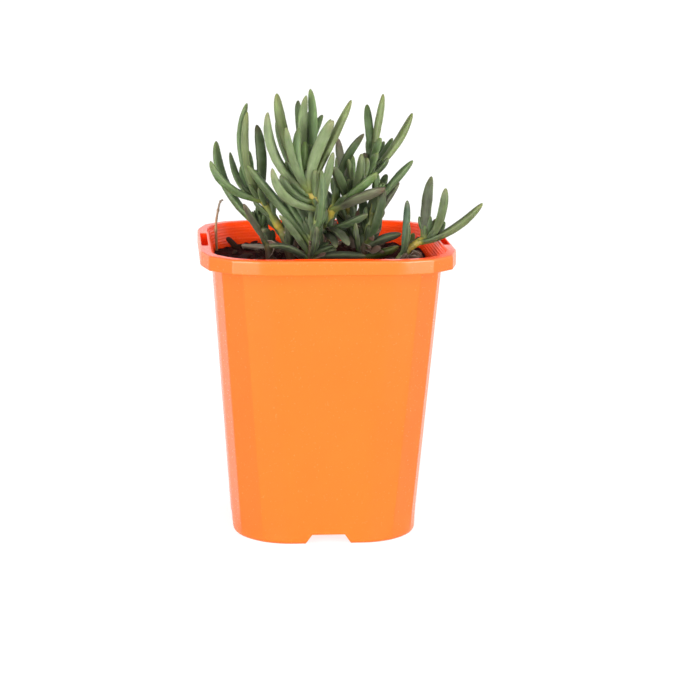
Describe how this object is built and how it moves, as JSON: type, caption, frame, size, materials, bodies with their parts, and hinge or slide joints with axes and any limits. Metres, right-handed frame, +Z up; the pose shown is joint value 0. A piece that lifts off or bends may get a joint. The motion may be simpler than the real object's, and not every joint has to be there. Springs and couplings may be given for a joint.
{
  "type": "potted ice plant",
  "caption": "Succulent ice plant with upright three-sided leaves on short branching shoots, in a square thin-walled plastic pot with rounded corners.",
  "frame": {"origin": "middle of the pot's base, on the surface that it stands on", "axes": "+Z up, +X to the plant's right as seen from the front, +Y to the back, square to the pot's sides"},
  "size_m": [0.1119, 0.1, 0.1776],
  "materials": {
    "pot_plastic": "injection-moulded polypropylene in a light terracotta orange, satin, slightly translucent at the rim",
    "potting_mix": "dark peat and bark potting mix, moist, matt and crumbly",
    "leaf_grey_green": "fleshy leaf with a grey-green waxy bloom, yellow-green at the root and pinkish brown at the tip",
    "dry_twig": "dry bare twig, grey-tan, matt",
    "dead_leaf": "withered grey-brown leaf, matt and wrinkled"
  },
  "bodies": {
    "root": {"pot": "pot_plastic", "potting_mix": "potting_mix", "shoot_left": "leaf_grey_green", "shoot_left_low": "leaf_grey_green", "shoot_middle": "leaf_grey_green", "shoot_right": "leaf_grey_green", "shoot_side": "leaf_grey_green", "shoot_far_right": "leaf_grey_green", "shoot_back_left": "leaf_grey_green", "shoot_back_right": "leaf_grey_green", "dry_twig": "dry_twig", "fallen_leaf": "dead_leaf"}
  },
  "joints": []
}
